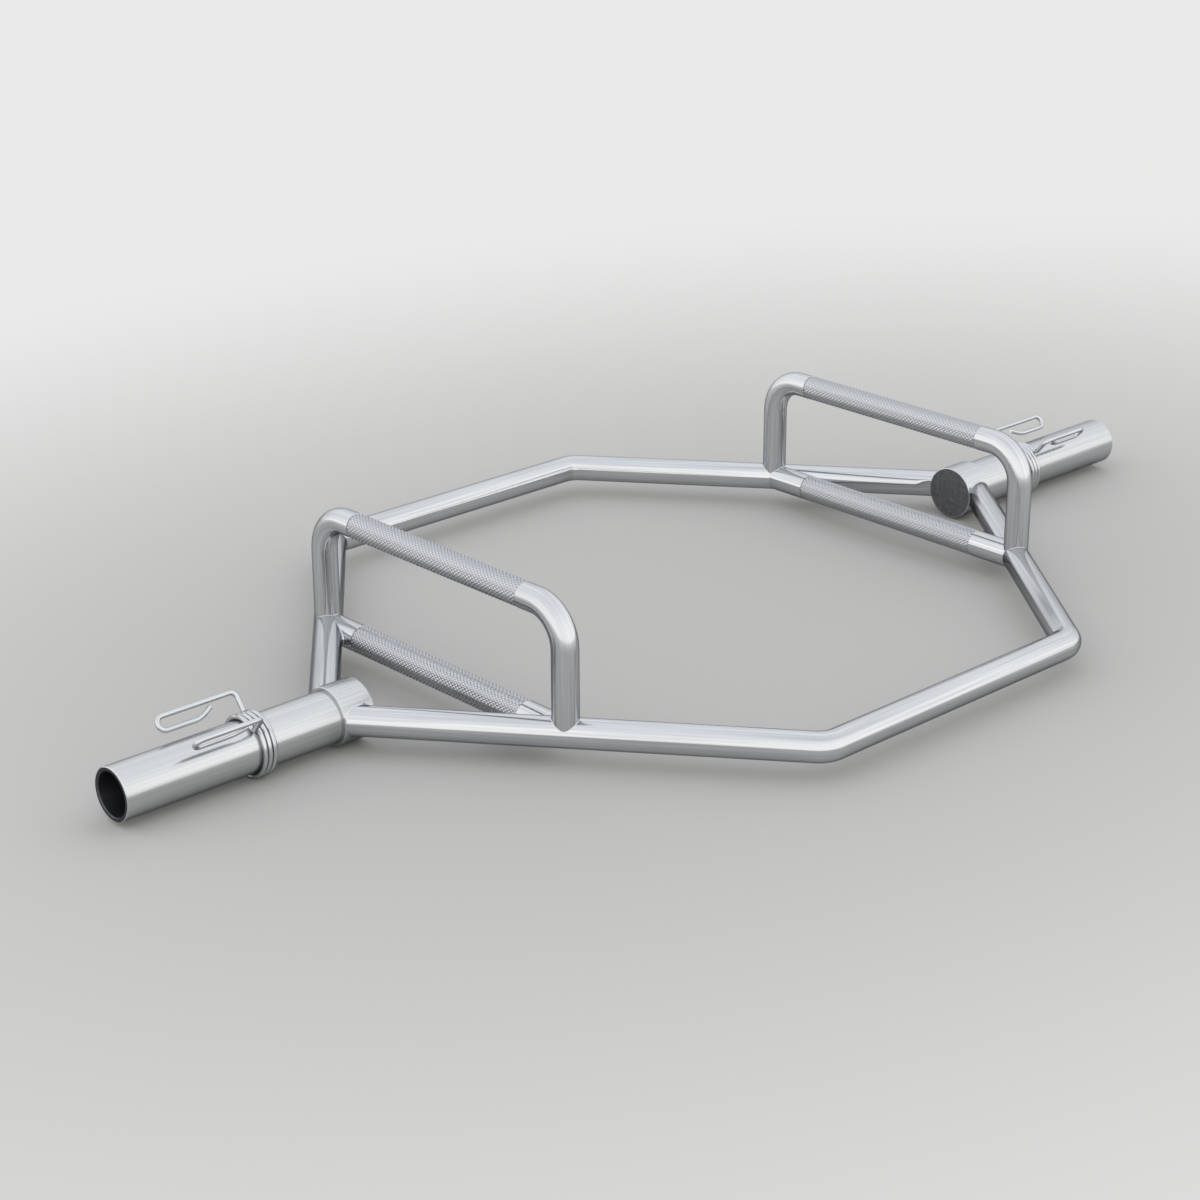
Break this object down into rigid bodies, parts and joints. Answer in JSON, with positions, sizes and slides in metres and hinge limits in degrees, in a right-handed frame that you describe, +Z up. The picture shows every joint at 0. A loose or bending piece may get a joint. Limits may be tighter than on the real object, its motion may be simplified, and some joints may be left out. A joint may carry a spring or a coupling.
{
  "type": "hex trap bar",
  "caption": "Hexagonal tube frame that a lifter stands inside, with plate sleeves at its ends, low and raised knurled grips at its sides and sprung wire clips on the sleeves.",
  "frame": {"origin": "under the middle of the bar, on the surface that it lies on, with the sleeve axis 29.5 mm up", "axes": "+X along the bar from the left sleeve to the right one, +Y along the handles to the rear, +Z up"},
  "size_m": [1.355, 0.7346, 0.1585],
  "materials": {
    "frame_tube": "satin chrome plate",
    "sleeve": "satin chrome plate",
    "hub": "satin chrome plate",
    "hub_cap": "dark satin steel",
    "handle": "satin chrome plate with a knurled grip",
    "weld": "plated over, ground smooth",
    "clip_wire": "bright plated spring wire"
  },
  "bodies": {
    "bar": {"front_frame_tube": "frame_tube", "rear_frame_tube": "frame_tube", "left_sleeve": "sleeve", "left_hub": "hub", "left_hub_cap": "hub_cap", "left_low_handle": "handle", "left_high_handle": "handle", "left_hub_welds": "weld", "left_low_handle_welds": "weld", "left_high_handle_welds": "weld", "right_sleeve": "sleeve", "right_hub": "hub", "right_hub_cap": "hub_cap", "right_low_handle": "handle", "right_high_handle": "handle", "right_hub_welds": "weld", "right_low_handle_welds": "weld", "right_high_handle_welds": "weld"},
    "left_clip": {"left_clip_coil": "clip_wire"},
    "left_clip_rear": {"left_clip_rear_arm": "clip_wire"},
    "left_clip_front": {"left_clip_front_arm": "clip_wire"},
    "right_clip": {"right_clip_coil": "clip_wire"},
    "right_clip_rear": {"right_clip_rear_arm": "clip_wire"},
    "right_clip_front": {"right_clip_front_arm": "clip_wire"}
  },
  "joints": [
    {"name": "left_clip_slide", "type": "slide", "parent": "bar", "child": "left_clip", "axis": [-1, 0, 0], "range_m": [-0.0718, 0.166]},
    {"name": "left_clip_turn", "type": "hinge", "parent": "left_clip", "child": "left_clip_rear", "pos_m": [-0.53, 0, 0.0295], "axis": [-1, 0, 0], "continuous": true},
    {"name": "left_clip_squeeze", "type": "hinge", "parent": "left_clip_rear", "child": "left_clip_front", "pos_m": [-0.53, 0, 0.0295], "axis": [-1, 0, 0], "range_deg": [0, 40], "stiffness_Nm_per_rad": 8.4, "deforming": ["left_clip_coil"]},
    {"name": "right_clip_slide", "type": "slide", "parent": "bar", "child": "right_clip", "axis": [1, 0, 0], "range_m": [-0.0718, 0.166]},
    {"name": "right_clip_turn", "type": "hinge", "parent": "right_clip", "child": "right_clip_rear", "pos_m": [0.53, 0, 0.0295], "axis": [1, 0, 0], "continuous": true},
    {"name": "right_clip_squeeze", "type": "hinge", "parent": "right_clip_rear", "child": "right_clip_front", "pos_m": [0.53, 0, 0.0295], "axis": [-1, 0, 0], "range_deg": [0, 40], "stiffness_Nm_per_rad": 8.4, "deforming": ["right_clip_coil"]}
  ]
}
